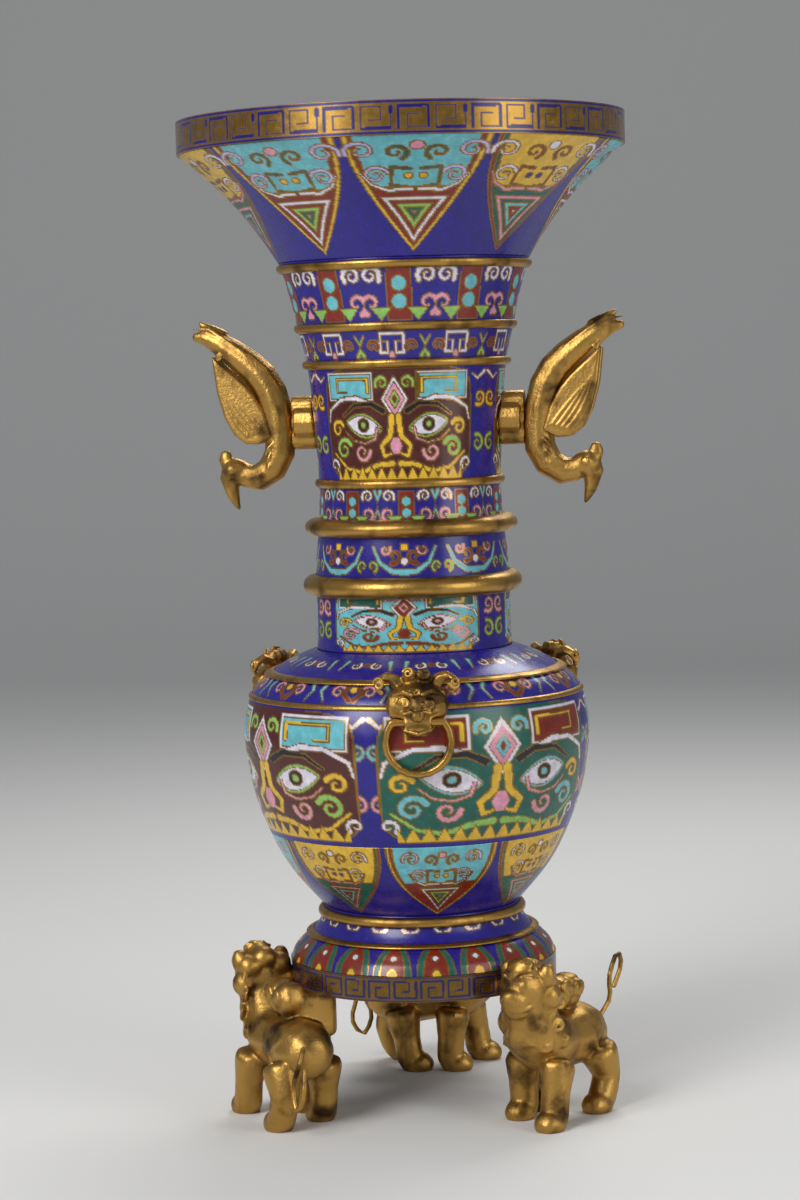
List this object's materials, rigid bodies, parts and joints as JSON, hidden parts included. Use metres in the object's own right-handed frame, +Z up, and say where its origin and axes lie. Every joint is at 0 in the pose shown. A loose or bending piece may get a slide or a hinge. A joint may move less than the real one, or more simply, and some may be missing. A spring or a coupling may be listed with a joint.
{
  "type": "enamel vase",
  "caption": "Enamelled bronze vase with a flared mouth, phoenix handles, mask rings on the shoulder and walking lions as feet.",
  "frame": {"origin": "on the vase's axis, on the ground under the lions' paws", "axes": "+Z up along the vase's axis; -Y is the front, where one mask ring hangs"},
  "size_m": [0.36, 0.36, 0.8],
  "materials": {
    "gilt_bronze": "polished gilt, worn",
    "enamel": "enamel fired in bronze cells, gloss",
    "dark_bronze": "unpolished cast bronze"
  },
  "bodies": {
    "root": {"rim_band": "gilt_bronze", "mouth": "enamel", "neck": "enamel", "belly": "enamel", "foot": "enamel", "foot_fret_band": "gilt_bronze", "base_disc": "dark_bronze", "band_1": "gilt_bronze", "band_2": "gilt_bronze", "band_3": "gilt_bronze", "band_4": "gilt_bronze", "collar_upper": "gilt_bronze", "collar_lower": "gilt_bronze", "shoulder_line_1": "gilt_bronze", "shoulder_line_2": "gilt_bronze", "foot_ring_top": "gilt_bronze", "foot_line_mid": "gilt_bronze", "phoenix_right": "gilt_bronze", "wing_front_right": "gilt_bronze", "wing_back_right": "gilt_bronze", "handle_boss_right": "gilt_bronze", "handle_nut_right": "dark_bronze", "phoenix_left": "gilt_bronze", "wing_front_left": "gilt_bronze", "wing_back_left": "gilt_bronze", "handle_boss_left": "gilt_bronze", "handle_nut_left": "dark_bronze", "mask_front": "gilt_bronze", "mask_nut_front": "dark_bronze", "mask_right": "gilt_bronze", "mask_nut_right": "dark_bronze", "mask_left": "gilt_bronze", "mask_nut_left": "dark_bronze", "lion_right": "gilt_bronze", "lion_right_fore_outer_leg": "gilt_bronze", "lion_right_fore_inner_leg": "gilt_bronze", "lion_right_hind_outer_leg": "gilt_bronze", "lion_right_hind_inner_leg": "gilt_bronze", "lion_right_saddle": "gilt_bronze", "lion_right_tail": "gilt_bronze", "lion_left": "gilt_bronze", "lion_left_fore_outer_leg": "gilt_bronze", "lion_left_fore_inner_leg": "gilt_bronze", "lion_left_hind_outer_leg": "gilt_bronze", "lion_left_hind_inner_leg": "gilt_bronze", "lion_left_saddle": "gilt_bronze", "lion_left_tail": "gilt_bronze", "lion_back": "gilt_bronze", "lion_back_fore_outer_leg": "gilt_bronze", "lion_back_fore_inner_leg": "gilt_bronze", "lion_back_hind_outer_leg": "gilt_bronze", "lion_back_hind_inner_leg": "gilt_bronze", "lion_back_saddle": "gilt_bronze", "lion_back_tail": "gilt_bronze"},
    "ring_front": {"ring_front": "gilt_bronze"},
    "ring_right": {"ring_right": "gilt_bronze"},
    "ring_left": {"ring_left": "gilt_bronze"}
  },
  "joints": [
    {"name": "ring_front_swing", "type": "hinge", "parent": "root", "child": "ring_front", "pos_m": [0, -0.14395, 0.3286], "axis": [-1, 0, 0], "range_deg": [0, 95]},
    {"name": "ring_right_swing", "type": "hinge", "parent": "root", "child": "ring_right", "pos_m": [0.12466, 0.07197, 0.3286], "axis": [0.5, -0.866, 0], "range_deg": [0, 95]},
    {"name": "ring_left_swing", "type": "hinge", "parent": "root", "child": "ring_left", "pos_m": [-0.12466, 0.07197, 0.3286], "axis": [0.5, 0.866, 0], "range_deg": [0, 95]}
  ]
}
